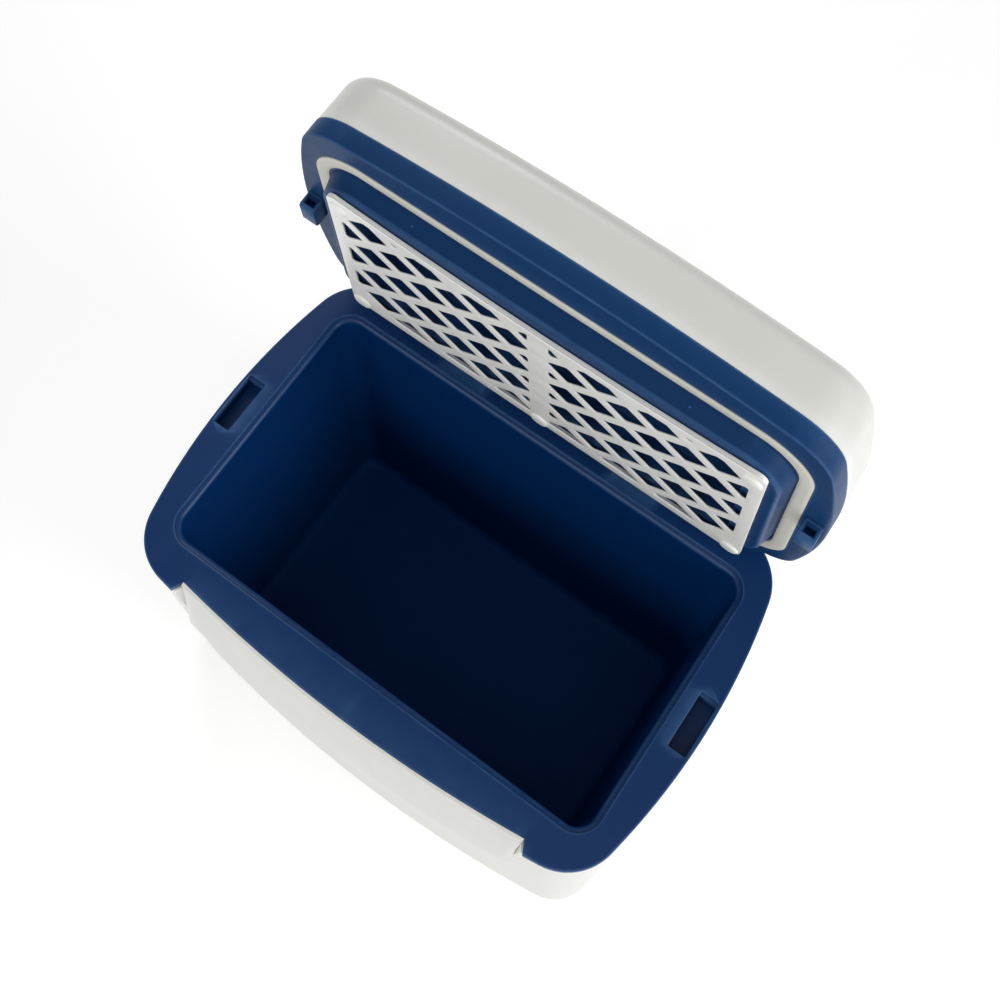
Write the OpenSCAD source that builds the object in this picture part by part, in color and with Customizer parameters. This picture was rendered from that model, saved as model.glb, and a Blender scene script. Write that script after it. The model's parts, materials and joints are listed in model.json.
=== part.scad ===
// Small hard-sided cooler chest: tapered outer shell, deep liner with a bowed rim, hinged lid with a
// sealed plug, an ice-pack pocket behind a lattice grille, and a folding carry handle in the lid top.
// Millimetres. +Z up, +Y to the hinge side, the front faces -Y.
// The origin is the middle of the footprint on the floor. The lid is drawn open, resting on its stop.

/* [Body] */
// overall length of the rim, along X
body_len = 414; // [340:2:500]
// overall width of the rim, along Y
body_wid = 289; // [250:1:350]
// height of the rim above the floor
body_h = 262; // [210:2:320]
// how far each short end bows outwards
end_bow = 22; // [12:1:30]
// how far each long side bows outwards
side_bow = 19.5; // [10:0.5:26]
// corner radius of the rim outline
corner_r = 42; // [34:1:52]
// wall thickness of every moulding
wall_t = 2.6; // [2:0.2:3.4]
// lean of the outer wall
shell_draft = 1.8; // [1:0.2:3]

/* [Cavity] */
// width of the rim across each short end, at its middle
rim_end_w = 27; // [24:1:32]
// width of the rim along each long side, at its middle
rim_side_w = 39; // [34:1:46]
// corner radius of the opening
open_r = 19; // [12:1:26]
// depth of the cavity below the rim
cavity_depth = 236; // [180:2:290]
// lean of the cavity walls
cavity_draft = 5.1; // [2:0.1:6]

/* [Lid] */
// height of the closed lid above the rim
lid_h = 59.2; // [50:0.2:75]
// height of the dark band at the lid's lower edge
band_h = 16.4; // [14:0.2:22]
// how far the plug reaches below the rim
plug_depth = 13.8; // [10:0.2:20]
// how far the lid swings from closed to its stop
open_deg = 86.4; // [70:0.2:87]

/* [Handle] */
// distance from the handle's pivots to the middle of its grip
handle_reach = 98; // [80:1:104]

/* [Hidden] */
$fn = 72;
eps = 0.01;
half_x = body_len / 2;
half_y = body_wid / 2;
rim_z = body_h;
flange_t = 5;
shell_top = rim_z - flange_t;
shell_inset = 1.5;
// inset of the shell's wall at its base
base_inset = shell_inset + tan(shell_draft) * shell_top;
base_round = 8;
// the base's chamfer runs this far up inside the wall above it
base_lap = 0.5;
// a hair's step where a corner meets its sides keeps their faces from just grazing
tangent_step = 0.03;
big_x = (half_y * half_y + end_bow * end_bow) / (2 * end_bow);
big_y = (half_x * half_x + side_bow * side_bow) / (2 * side_bow);

// opening in the rim: outer step, and the lip inside it
step_x = half_x - rim_end_w;
step_y = half_y - rim_side_w;
step_drop = 1.2;
lip_w = 4.6;
lip_x = step_x - lip_w;
lip_y = step_y - lip_w;
cavity_lean = tan(cavity_draft) * cavity_depth;
floor_z = rim_z - cavity_depth;

// pockets in the rim that take the lid's latch tabs
recess_in = half_x - 17;
recess_out = half_x - 2.3;
recess_half = 21.6;
recess_depth = 16;
recess_wall = 1.6;
// a latch tab's length from the pocket's inner wall, the room beyond it, and its reach below the wall's top
tab_long = 13.6;
tab_room = 0.4;
tab_drop = 7.5;
// how far a tab reaches forwards (and down) and backwards from its foot
tab_front = 11;
tab_rear = 13.5;

// raised front panel of the shell, let into a notch in the rim
panel_half = 145;
notch_in = 9.9;
panel_top_in = 7.2;
panel_low_out = 2.1;
panel_drop = 72;
panel_gap = 0.3;

// hinge
hinge_y = half_y - 11.5;
hinge_up = 12.2;
hinge_x = 75;
lug_r = 8;
lug_half = 8;
lug_gap = 0.8;
pin_r = 2.5;
pin_play = 0.06;
pin_half = 18;
lug_plate_half = 20;
lug_plate_t = 3;
lug_plate_d = 16;
screw_off = 15.5;

// lid, in its own frame: closed, z = 0 on the rim
flange_up = 1.2;
flange_top = 4;
lid_wall = 4;
stop_gap = 0.6;
plug_x = step_x - 4;
plug_front = step_y - 5;
plug_rear = step_y - 4.5;
plug_lean = 4;
pocket_x = half_x - 58;
pocket_front = 72;
pocket_rear = 78;
pocket_top = 19;

// gasket ring
gasket_x = half_x - 19.3;
gasket_y = half_y - 27.7;
gasket_w = 10.5;
gasket_mid = 4.9;
gasket_r = 41.9;
gasket_low = 0.15;
gasket_groove = 1.8;

// ice-pack grille
grille_x = half_x - 43;
grille_front = 92.8;
grille_rear = 97.3;
grille_bow = 9.8;
grille_t = 3.5;
grille_z = -plug_depth - 0.4;
window_x = half_x - 52;
window_front = 76;
window_rear = 86;
mesh_x = 44.35;
mesh_y = 43;
mesh_shift = -2.9;
mesh_cut_x = 17.4;
mesh_cut_y = 15.4;
strap_half = 8;
peg_x = half_x - 51.5;
peg_front = 77.5;
peg_rear = 91;
peg_mid_rear = 91;
peg_head_r = 7.4;
peg_head_t = 1.8;
peg_r = 3;
peg_play = 0.08;

// handle
pivot_z = lid_h - 8;
arm_x = half_x - 45;
arm_half = 6;
arm_t = 10;
arm_gap = 1.5;
channel_z = lid_h - 16;
grip_half = 8;
pocket_half = 52;
finger_front = 58;
finger_z = lid_h - 24;

white = [0.93, 0.925, 0.9];
navy = [0.03, 0.075, 0.19];
foam_tan = [0.93, 0.88, 0.7];
soft_white = [0.86, 0.86, 0.84];
steel = [0.7, 0.7, 0.72];

// ---- shared shapes ----

// centre of a corner circle that is tangent to the end arc and to the side arc
function corner_mid(rc) =
    let(ca = half_x - big_x, cb = half_y - big_y, da = big_x - rc, db = big_y - rc,
        d = sqrt(ca * ca + cb * cb), a = (da * da - db * db + d * d) / (2 * d),
        h = sqrt(da * da - a * a), px = ca - a * ca / d, py = a * cb / d,
        qx = px - h * cb / d, qy = py - h * ca / d,
        rx = px + h * cb / d, ry = py + h * ca / d)
    qx > 0 && qy > 0 ? [qx, qy] : [rx, ry];

// bowed rectangle with round corners between two heights, set in by low_in and high_in
module bowed(low, high, low_in, high_in) {
    mid = corner_mid(corner_r);
    end_dir = [mid[0] - (half_x - big_x), mid[1]];
    side_dir = [mid[0], mid[1] - (half_y - big_y)];
    end_u = end_dir / norm(end_dir);
    side_u = side_dir / norm(side_dir);
    far = 70;
    tall = high - low;
    slope = (high_in - low_in) / tall;
    difference() {
        intersection() {
            translate([half_x - big_x, 0, low])
                cylinder(h = tall, r1 = big_x - low_in, r2 = big_x - high_in, $fn = 144);
            translate([big_x - half_x, 0, low])
                cylinder(h = tall, r1 = big_x - low_in, r2 = big_x - high_in, $fn = 144);
            translate([0, half_y - big_y, low])
                cylinder(h = tall, r1 = big_y - low_in, r2 = big_y - high_in, $fn = 288);
            translate([0, big_y - half_y, low])
                cylinder(h = tall, r1 = big_y - low_in, r2 = big_y - high_in, $fn = 288);
        }
        for (sx = [0, 1], sy = [0, 1])
            mirror([sx, 0, 0]) mirror([0, sy, 0])
                translate([mid[0], mid[1], low - 1]) difference() {
                    linear_extrude(tall + 2)
                        polygon([[0, 0], far * end_u, 0.8 * far * (end_u + side_u), far * side_u]);
                    translate([0, 0, -1])
                        cylinder(h = tall + 4, r1 = corner_r - low_in + 2 * slope - tangent_step,
                            r2 = corner_r - high_in - 2 * slope - tangent_step);
                }
    }
}

// flat rounded rectangle
module round_rect(hx, hy, r) {
    square([2 * hx, 2 * (hy - r)], center = true);
    square([2 * (hx - r), 2 * hy], center = true);
    for (sx = [-1, 1], sy = [-1, 1])
        translate([sx * (hx - r), sy * (hy - r)]) circle(r);
}

// straight-sided box with round corners whose four walls lean in by lean from high down to low
module leaning_box(hx, hy, r, low, high, lean) {
    tall = high - low;
    tilt = atan(lean / tall);
    post_r = r * cos(tilt);
    reach = sqrt(tall * tall + 2 * lean * lean);
    intersection() {
        union() {
            leaning_core(hx, hy - r, low, high, lean);
            leaning_core(hx - r, hy, low, high, lean);
            for (sx = [0, 1], sy = [0, 1])
                mirror([sx, 0, 0]) mirror([0, sy, 0])
                    translate([hx - r, hy - r, high])
                        rotate([0, 0, 45]) rotate([0, 180 + atan(lean * sqrt(2) / tall), 0])
                            translate([0, 0, -20]) cylinder(h = reach + 40, r = post_r);
        }
        translate([-hx - 1, -hy - 1, low]) cube([2 * hx + 2, 2 * hy + 2, tall]);
    }
}

module leaning_core(hx, hy, low, high, lean) {
    intersection() {
        translate([0, hy + 1, 0]) rotate([90, 0, 0]) linear_extrude(2 * hy + 2)
            polygon([[-hx, high], [-hx + lean, low], [hx - lean, low], [hx, high]]);
        translate([-hx - 1, 0, 0]) rotate([90, 0, 90]) linear_extrude(2 * hx + 2)
            polygon([[-hy, high], [-hy + lean, low], [hy - lean, low], [hy, high]]);
    }
}

module x_rod(x0, x1, y, z, r) {
    translate([x0, y, z]) rotate([0, 90, 0]) cylinder(h = x1 - x0, r = r);
}

// from the closed lid's frame to the open lid on its stop
module open_lid() {
    translate([0, hinge_y, rim_z + hinge_up]) rotate([-open_deg, 0, 0])
        translate([0, -hinge_y, -hinge_up]) children();
}

module both_hinges() {
    for (s = [-1, 1]) translate([s * hinge_x, 0, 0]) children();
}

// ---- body ----

// the notch's plan, a little wider than the panel by grow
module panel_plan(grow) {
    polygon([[-panel_half - 15 - grow, -half_y - 6], [-panel_half - grow, -half_y + 14],
        [-panel_half - grow, -half_y + 40], [panel_half + grow, -half_y + 40],
        [panel_half + grow, -half_y + 14], [panel_half + 15 + grow, -half_y - 6]]);
}

// the panel's face: it leans out from the rim's edge down to a ridge, then turns back to the wall
module panel_cones(skin) {
    translate([0, big_y - half_y, rim_z - panel_drop])
        cylinder(h = panel_drop, r1 = big_y + panel_low_out - skin,
            r2 = big_y - panel_top_in - skin, $fn = 288);
    translate([0, big_y - half_y, rim_z - panel_drop - 10])
        cylinder(h = 10, r1 = big_y - 6 - skin, r2 = big_y + panel_low_out - skin, $fn = 288);
}

module front_panel(skin) {
    intersection() {
        panel_cones(skin);
        translate([0, 0, rim_z - panel_drop - 10])
            linear_extrude(panel_drop + 10) panel_plan(-skin);
    }
}

// what the panel's face cuts away from the wall above its ridge
module front_slot(skin) {
    difference() {
        translate([0, 0, rim_z - panel_drop]) linear_extrude(panel_drop - 1) panel_plan(skin);
        panel_cones(skin);
    }
}

module shell_solid(skin, top) {
    difference() {
        bowed(base_round, top, base_inset + skin,
            shell_inset + skin - (top - shell_top) * tan(shell_draft));
        front_slot(skin);
    }
    bowed(skin, base_round + base_lap, base_inset + base_round - 2 + skin, base_inset + skin + 0.1);
    front_panel(skin);
}

module outer_shell() color(white) {
    difference() {
        shell_solid(0, shell_top);
        shell_solid(wall_t, shell_top + 1);
        // above the wall's top only the panel's edge stands, inside the rim's notch
        translate([0, big_y - half_y, shell_top])
            cylinder(h = 20, r = big_y - notch_in + panel_gap, $fn = 288);
        // room for the latch tabs, let into the inside of each end wall
        for (s = [0, 1]) mirror([s, 0, 0])
            translate([recess_in, -tab_front - 2, shell_top - tab_drop])
                cube([tab_long + tab_room, tab_front + tab_rear + 4.5, tab_drop + 1]);
    }
}

module recess_boxes(grow, down) {
    for (s = [0, 1]) mirror([s, 0, 0])
        translate([recess_in - grow, -recess_half - grow, rim_z - recess_depth - down])
            cube([recess_out - recess_in + 2 * grow, 2 * (recess_half + grow), recess_depth + down + 1]);
}

module hinge_bosses() {
    both_hinges() translate([-lug_plate_half - 2, hinge_y - lug_plate_d / 2 - 3, shell_top - 12])
        cube([2 * lug_plate_half + 4, lug_plate_d - 1, 12 + eps]);
}

module liner_skin() {
    leaning_box(lip_x + wall_t, lip_y + wall_t, open_r - lip_w + wall_t, floor_z - wall_t,
        rim_z - 1, cavity_lean);
}

module cavity() {
    leaning_box(lip_x, lip_y, open_r - lip_w, floor_z, rim_z + eps, cavity_lean);
    // rounded-over lip and the step around it
    leaning_box(step_x, step_y, open_r, rim_z - step_drop - lip_w, rim_z - step_drop, lip_w);
    translate([0, 0, rim_z - step_drop - eps]) linear_extrude(step_drop + 1)
        round_rect(step_x, step_y, open_r);
}

module inner_liner() color(navy) {
    box_low = rim_z - recess_depth - 3;
    box_inset = wall_t + shell_inset + 0.4;
    difference() {
        union() {
            bowed(shell_top, rim_z, 0, 0);
            liner_skin();
            // what hangs under the rim stays clear of the shell's drafted wall
            intersection() {
                union() {
                    recess_boxes(recess_wall, 2);
                    hinge_bosses();
                }
                bowed(box_low, shell_top + eps, box_inset + tan(shell_draft) * (shell_top - box_low), box_inset);
            }
        }
        cavity();
        recess_cut();
        // notch for the shell's front panel
        difference() {
            translate([0, 0, shell_top - 1]) linear_extrude(flange_t + 2) panel_plan(panel_gap);
            translate([0, big_y - half_y, shell_top - 2])
                cylinder(h = flange_t + 4, r = big_y - notch_in, $fn = 288);
        }
        both_hinges() {
            translate([-lug_plate_half - 0.2, hinge_y - lug_plate_d / 2 - 3.2, rim_z - lug_plate_t])
                cube([2 * lug_plate_half + 0.4, lug_plate_d + 0.4, lug_plate_t + 1]);
            for (s = [-1, 1]) translate([s * screw_off, hinge_y - 3, rim_z - lug_plate_t - 10.2])
                cylinder(h = 11, r = 1.5, $fn = 32);
        }
    }
}

// pocket for a latch tab, with a catch ledge left standing at its rear wall
module recess_cut() {
    difference() {
        recess_boxes(0, 0);
        for (s = [0, 1]) mirror([s, 0, 0])
            translate([recess_in - 1, recess_half - 2.4, rim_z - 7])
                cube([recess_out - recess_in + 2, 4, 3]);
    }
}

module body_foam() color(foam_tan) {
    gap = 0.4;
    difference() {
        bowed(base_round, shell_top - gap, base_inset + wall_t + gap, shell_inset + wall_t + gap);
        front_slot(wall_t + gap);
        leaning_box(lip_x + wall_t + gap, lip_y + wall_t + gap, open_r - lip_w + wall_t + gap,
            floor_z - wall_t - gap, rim_z - 1, cavity_lean);
        recess_boxes(recess_wall + gap, 2 + gap);
        both_hinges() translate([-lug_plate_half - 3, hinge_y - lug_plate_d / 2 - 4, shell_top - 13])
            cube([2 * lug_plate_half + 6, lug_plate_d + 12, 20]);
    }
}

// ---- hinge ----

// one lug: a plate let into the rim, and a post that carries the lid's pin
module hinge_lug(side) {
    translate([side * hinge_x, 0, 0]) difference() {
        union() {
            translate([-lug_plate_half, hinge_y - lug_plate_d / 2 - 3, rim_z - lug_plate_t])
                cube([2 * lug_plate_half, lug_plate_d, lug_plate_t]);
            translate([-lug_half, hinge_y - lug_r, rim_z - lug_plate_t])
                cube([2 * lug_half, 2 * lug_r - 3, lug_plate_t]);
            translate([-lug_half, hinge_y - lug_r, rim_z])
                cube([2 * lug_half, 2 * lug_r, hinge_up]);
            x_rod(-lug_half, lug_half, hinge_y, rim_z + hinge_up, lug_r);
        }
        x_rod(-lug_half - 1, lug_half + 1, hinge_y, rim_z + hinge_up, pin_r + pin_play);
        for (s = [-1, 1]) translate([s * screw_off, hinge_y - 3, rim_z - lug_plate_t - 1]) {
            cylinder(h = 6, r = 1.6, $fn = 32);
            translate([0, 0, 2.6]) cylinder(h = 4, r = 3.2, $fn = 32);
        }
    }
}

module hinge_lug_left() color(navy) hinge_lug(-1);

module hinge_lug_right() color(navy) hinge_lug(1);

module hinge_screws() color(steel) {
    both_hinges() for (s = [-1, 1])
        translate([s * screw_off, hinge_y - 3, rim_z - lug_plate_t]) difference() {
            union() {
                translate([0, 0, 1.6]) cylinder(h = 1.2, r = 3, $fn = 32);
                translate([0, 0, -10]) cylinder(h = 12, r = 1.5, $fn = 32);
            }
            translate([-2.2, -0.4, 2.2]) cube([4.4, 0.8, 2]);
            translate([-0.4, -2.2, 2.2]) cube([0.8, 4.4, 2]);
        }
}

module hinge_pins() color(steel) {
    open_lid() both_hinges() x_rod(-pin_half, pin_half, hinge_y, hinge_up, pin_r);
}

// ---- lid ----

// room around each lug, for the whole swing
module lug_room() {
    both_hinges() translate([-lug_half - lug_gap, hinge_y - lug_r - lug_gap, -1])
        cube([2 * (lug_half + lug_gap), 60, hinge_up + lug_r + lug_gap + 1]);
}

// the lid's rear lower edge is rounded about the hinge so that it can turn on the rim
module rear_relief() {
    difference() {
        translate([-half_x, hinge_y, -5]) cube([body_len, 60, hinge_up + 5]);
        x_rod(-half_x - 1, half_x + 1, hinge_y, hinge_up, hinge_up - stop_gap);
    }
}

module cheeks() {
    for (s = [-1, 1], t = [-1, 1])
        translate([s * hinge_x + t * (lug_half + lug_gap + 5) - 5, hinge_y - 9, flange_up])
            cube([10, 12.5, band_h - flange_up]);
}

module plug_solid(skin, top) {
    mid_y = (plug_rear - plug_front) / 2;
    translate([0, mid_y, 0])
        leaning_box(plug_x - skin, (plug_rear + plug_front) / 2 - skin, 34 - skin, -plug_depth + skin, top,
            plug_lean);
}

module pocket(grow) {
    translate([0, (pocket_rear - pocket_front) / 2, -plug_depth - 1])
        linear_extrude(plug_depth + 1 + pocket_top + grow)
            round_rect(pocket_x + grow, (pocket_rear + pocket_front) / 2 + grow, 8 + grow);
}

module tab_at(side) {
    mirror([side < 0 ? 1 : 0, 0, 0]) translate([recess_in + 1, 0, 0]) children();
}

module tab_foot() {
    translate([2, -6, 0]) cube([8.6, 14, flange_top]);
}

module lid_liner() color(navy) {
    open_lid() difference() {
        union() {
            difference() {
                bowed(flange_up, band_h, 0, 0);
                bowed(flange_top, band_h + 1, lid_wall, lid_wall);
                translate([0, (plug_rear - plug_front) / 2, 0]) linear_extrude(flange_top + 1)
                    round_rect(plug_x - 6, (plug_rear + plug_front) / 2 - 6, 28);
            }
            difference() {
                union() {
                    plug_solid(0, flange_top);
                    cheeks();
                }
                difference() {
                    plug_solid(wall_t, flange_top + 1);
                    pocket(wall_t);
                }
            }
            intersection() {
                pocket(wall_t);
                translate([-half_x, -half_y, -plug_depth]) cube([body_len, body_wid, lid_h]);
            }
        }
        pocket(0);
        translate([0, gasket_mid, gasket_groove + flange_up - eps]) mirror([0, 0, 1])
            linear_extrude(gasket_groove + 1) gasket_plan(0.1);
        lug_room();
        rear_relief();
        both_hinges() x_rod(-pin_half - 0.4, pin_half + 0.4, hinge_y, hinge_up, pin_r);
        for (s = [-1, 1]) tab_at(s) tab_foot();
        pegs_at() translate([0, 0, -plug_depth - 1]) cylinder(h = 8, r = peg_r + peg_play, $fn = 32);
    }
}

module gasket_plan(grow) {
    difference() {
        round_rect(gasket_x + grow, gasket_y + grow, gasket_r + grow);
        round_rect(gasket_x - gasket_w - grow, gasket_y - gasket_w - grow, gasket_r - gasket_w - grow);
    }
}

module lid_gasket() color(soft_white) {
    open_lid() translate([0, gasket_mid, gasket_low])
        linear_extrude(gasket_groove + flange_up - gasket_low - 0.1) gasket_plan(0);
}

// the lid's outer skin: a nearly upright wall, then a stepped round to the flat top
module lid_skin(skin) {
    bowed(band_h, lid_h - 12, 0.4 + skin, 1.4 + skin);
    bowed(lid_h - 12 - eps, lid_h - 5, 1.4 + skin, 4.6 + skin);
    bowed(lid_h - 5 - eps, lid_h - skin, 4.6 + skin, 13 + skin);
}

// U-shaped channel in the lid top that the folded handle lies in
module channel(grow, top) {
    wide = arm_half + arm_gap + grow;
    for (s = [-1, 1])
        translate([s * arm_x - wide, -9 - grow, channel_z - grow])
            cube([2 * wide, handle_reach + grip_half + arm_gap + 9 + 2 * grow, top]);
    translate([-arm_x, handle_reach - grip_half - arm_gap - grow, channel_z - grow])
        cube([2 * arm_x, 2 * (grip_half + arm_gap + grow), top]);
    translate([-pocket_half - grow, finger_front - grow, finger_z - grow])
        cube([2 * (pocket_half + grow), handle_reach - finger_front + 2 * grow, top]);
}

module lid_shell() color(white) {
    open_lid() difference() {
        union() {
            difference() {
                lid_skin(0);
                translate([0, 0, -1]) lid_skin(wall_t);
                bowed(band_h - 1, band_h + 2, wall_t + 0.4, wall_t + 0.4);
            }
            intersection() {
                channel(wall_t, 60);
                lid_skin(0.2);
            }
        }
        channel(0, 60);
        lug_room();
        for (s = [-1, 1]) x_rod(s * arm_x - 10.2, s * arm_x + 10.2, 0, pivot_z, pin_r);
    }
}

module lid_foam() color(foam_tan) {
    gap = 0.4;
    open_lid() difference() {
        bowed(flange_top + gap, finger_z - wall_t - gap, lid_wall + gap, lid_wall + gap + 0.6);
        pocket(wall_t + gap);
        translate([-half_x, hinge_y - 11, 0]) cube([body_len, 60, lid_h]);
    }
}

// one latch tab: a hollow block under the lid's flange, slotted at its front
module latch_tab(side) {
    open_lid() tab_at(side) difference() {
        union() {
            translate([0, -tab_front, -tab_front]) cube([tab_long - 1, tab_rear + tab_front, flange_up + tab_front]);
            tab_foot();
        }
        translate([wall_t, -tab_front - 1, -7.6]) cube([tab_long - 1 - 2 * wall_t, 12, 4.6]);
        translate([-1, -tab_front, -tab_front]) rotate([45, 0, 0]) translate([0, -2, -2]) cube([16, 4, 4]);
        translate([-1, tab_rear, -tab_front]) rotate([45, 0, 0]) translate([0, -2, -2]) cube([16, 4, 4]);
    }
}

module latch_tab_left() color(navy) latch_tab(-1);

module latch_tab_right() color(navy) latch_tab(1);

// ---- ice-pack grille ----

module pegs_at() {
    for (s = [-1, 1]) {
        translate([s * peg_x, -peg_front, 0]) children();
        translate([s * peg_x, peg_rear, 0]) children();
    }
    translate([0, peg_mid_rear, 0]) children();
}

module grille_plan() {
    bow_r = (grille_x * grille_x + grille_bow * grille_bow) / (2 * grille_bow);
    difference() {
        translate([-grille_x, -grille_front]) square([2 * grille_x, grille_front + grille_rear]);
        translate([0, -grille_front + grille_bow - bow_r]) circle(bow_r, $fn = 360);
        intersection() {
            translate([-window_x, -window_front]) square([2 * window_x, window_front + window_rear]);
            mesh_cuts();
        }
        for (s = [-1, 1], y = [-peg_front, peg_rear]) translate([s * peg_x, y]) circle(peg_r, $fn = 32);
        translate([0, peg_mid_rear]) circle(peg_r, $fn = 32);
    }
}

// diamond holes in two offset families, with a solid strap down the middle
module mesh_cuts() {
    difference() {
        union() {
            for (i = [-3 : 3], j = [-2 : 1]) mesh_cut(i * mesh_x, (j + 0.5) * mesh_y);
            for (i = [-4 : 3], j = [-1 : 1]) mesh_cut((i + 0.5) * mesh_x, j * mesh_y);
            // the rear row leaves its end holes solid, where the pegs go
            for (i = [-3 : 2]) mesh_cut((i + 0.5) * mesh_x, 2 * mesh_y);
        }
        translate([-strap_half, -half_y]) square([2 * strap_half, body_wid]);
    }
}

module mesh_cut(x, y) {
    translate([x, y + mesh_shift])
        polygon([[mesh_cut_x, 0], [0, mesh_cut_y], [-mesh_cut_x, 0], [0, -mesh_cut_y]]);
}

module ice_pack_grille() color(white) {
    open_lid() translate([0, 0, grille_z - grille_t]) linear_extrude(grille_t) grille_plan();
}

module grille_pegs() color(white) {
    open_lid() pegs_at() {
        translate([0, 0, grille_z - grille_t - peg_head_t]) cylinder(h = peg_head_t, r = peg_head_r);
        translate([0, 0, grille_z - grille_t - eps]) cylinder(h = grille_t + 6, r = peg_r, $fn = 32);
    }
}

// ---- handle ----

module carry_handle() color(white) {
    open_lid() difference() {
        union() {
            for (s = [-1, 1]) {
                x_rod(s * arm_x - arm_half, s * arm_x + arm_half, 0, pivot_z, 6.5);
                translate([s * arm_x - arm_half, 0, pivot_z - arm_t / 2])
                    cube([2 * arm_half, handle_reach, arm_t]);
            }
            x_rod(-arm_x - arm_half, arm_x + arm_half, handle_reach, pivot_z, 6.5);
            translate([-arm_x - arm_half, handle_reach - grip_half, pivot_z - arm_t / 2])
                cube([2 * (arm_x + arm_half), grip_half, arm_t]);
        }
        for (s = [-1, 1])
            x_rod(s * arm_x - arm_half - 1, s * arm_x + arm_half + 1, 0, pivot_z, pin_r + pin_play);
    }
}

module handle_pins() color(steel) {
    open_lid() for (s = [-1, 1]) x_rod(s * arm_x - 10, s * arm_x + 10, 0, pivot_z, pin_r);
}

outer_shell();
inner_liner();
body_foam();
hinge_lug_left();
hinge_lug_right();
hinge_screws();
hinge_pins();
lid_shell();
lid_liner();
lid_foam();
lid_gasket();
latch_tab_left();
latch_tab_right();
ice_pack_grille();
grille_pegs();
carry_handle();
handle_pins();
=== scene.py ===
import json
from math import atan2, copysign, cos, pi, radians, sin, sqrt, tan

import bmesh
import bpy
from mathutils import Matrix, Vector


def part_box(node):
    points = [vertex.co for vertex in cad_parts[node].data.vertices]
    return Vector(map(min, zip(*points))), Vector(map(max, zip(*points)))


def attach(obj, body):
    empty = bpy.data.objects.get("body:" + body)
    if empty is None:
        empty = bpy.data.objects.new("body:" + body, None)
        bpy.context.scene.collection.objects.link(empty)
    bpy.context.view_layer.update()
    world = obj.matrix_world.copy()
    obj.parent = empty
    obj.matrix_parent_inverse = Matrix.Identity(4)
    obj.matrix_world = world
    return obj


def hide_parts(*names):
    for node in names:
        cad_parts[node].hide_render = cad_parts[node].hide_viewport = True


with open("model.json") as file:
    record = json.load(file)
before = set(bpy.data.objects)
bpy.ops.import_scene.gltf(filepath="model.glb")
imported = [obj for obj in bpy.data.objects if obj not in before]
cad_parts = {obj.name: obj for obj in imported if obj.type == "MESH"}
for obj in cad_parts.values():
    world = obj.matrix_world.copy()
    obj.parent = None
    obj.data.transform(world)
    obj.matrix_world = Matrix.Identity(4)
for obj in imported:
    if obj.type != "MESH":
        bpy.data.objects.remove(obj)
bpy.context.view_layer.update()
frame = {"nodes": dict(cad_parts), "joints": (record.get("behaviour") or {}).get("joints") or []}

# ---- sizes, in millimetres. The chest stands on the floor; lid sizes are those of the closed lid ----

MM = 0.001
RIM_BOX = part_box("inner_liner")
HALF_X = RIM_BOX[1].x / MM
HALF_Y = RIM_BOX[1].y / MM
RIM_Z = RIM_BOX[1].z / MM
HINGE = Vector(next(j for j in frame["joints"] if j["name"] == "lid_hinge")["pos_m"]) / MM
OPEN_ANGLE = radians(86.4)

END_BOW = 22
SIDE_BOW = 19.5
CORNER_R = 42
END_ARC = (HALF_Y ** 2 + END_BOW ** 2) / (2 * END_BOW)
SIDE_ARC = (HALF_X ** 2 + SIDE_BOW ** 2) / (2 * SIDE_BOW)

RIM_T = 5
SHELL_TOP = RIM_Z - RIM_T
SHELL_INSET = 1.5
SHELL_DRAFT = tan(radians(1.8))
WALL = 2.6
BASE_ROUND = 8

STEP_X = HALF_X - 27
STEP_Y = HALF_Y - 39
STEP_R = 19
FLOOR_Z = RIM_Z - 236
CAVITY_LEAN = tan(radians(5.1)) * 236

BAND_TOP = 16.4
FLANGE = 1.2
LID_TOP = 59.2
PLUG_FACE = -13.8
GRILLE_FACE = -17.7
GRILLE_T = 3.5
LATTICE_T = 1.2
LUG_X = 75
ARM_X = HALF_X - 45
HANDLE_REACH = 98
HANDLE_DROP = 8

# how many points an outline has along a quarter: on the short end, round the corner, on the long side
END_STEPS, CORNER_STEPS, SIDE_STEPS = 14, 14, 26

LID_OPEN = (
    Matrix.Translation((0, HINGE.y, HINGE.z))
    @ Matrix.Rotation(-OPEN_ANGLE, 4, "X")
    @ Matrix.Translation((0, -HINGE.y, -(HINGE.z - RIM_Z)))
)


# ---- outlines ----

def corner_centre():
    """Centre of the corner circle that touches the end arc and the side arc from inside."""
    ex, sy = HALF_X - END_ARC, HALF_Y - SIDE_ARC
    de, ds = END_ARC - CORNER_R, SIDE_ARC - CORNER_R
    d = sqrt(ex * ex + sy * sy)
    a = (de * de - ds * ds + d * d) / (2 * d)
    h = sqrt(de * de - a * a)
    px, py = ex - a * ex / d, a * sy / d
    for turn in (-1, 1):
        x, y = px + turn * h * sy / d, py + turn * h * ex / d
        if x > 0 and y > 0:
            return x, y


CORNER_MID = corner_centre()


def whole_outline(quarter, mid_y=0.0):
    """The full ring from the quarter with x and y above zero, mirrored about both axes."""
    back = quarter[::-1]
    ring = quarter[:-1] + [(-x, y) for x, y in back[:-1]]
    ring += [(-x, -y) for x, y in quarter[:-1]] + [(x, -y) for x, y in back[:-1]]
    return [(x, y + mid_y) for x, y in ring]


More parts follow.
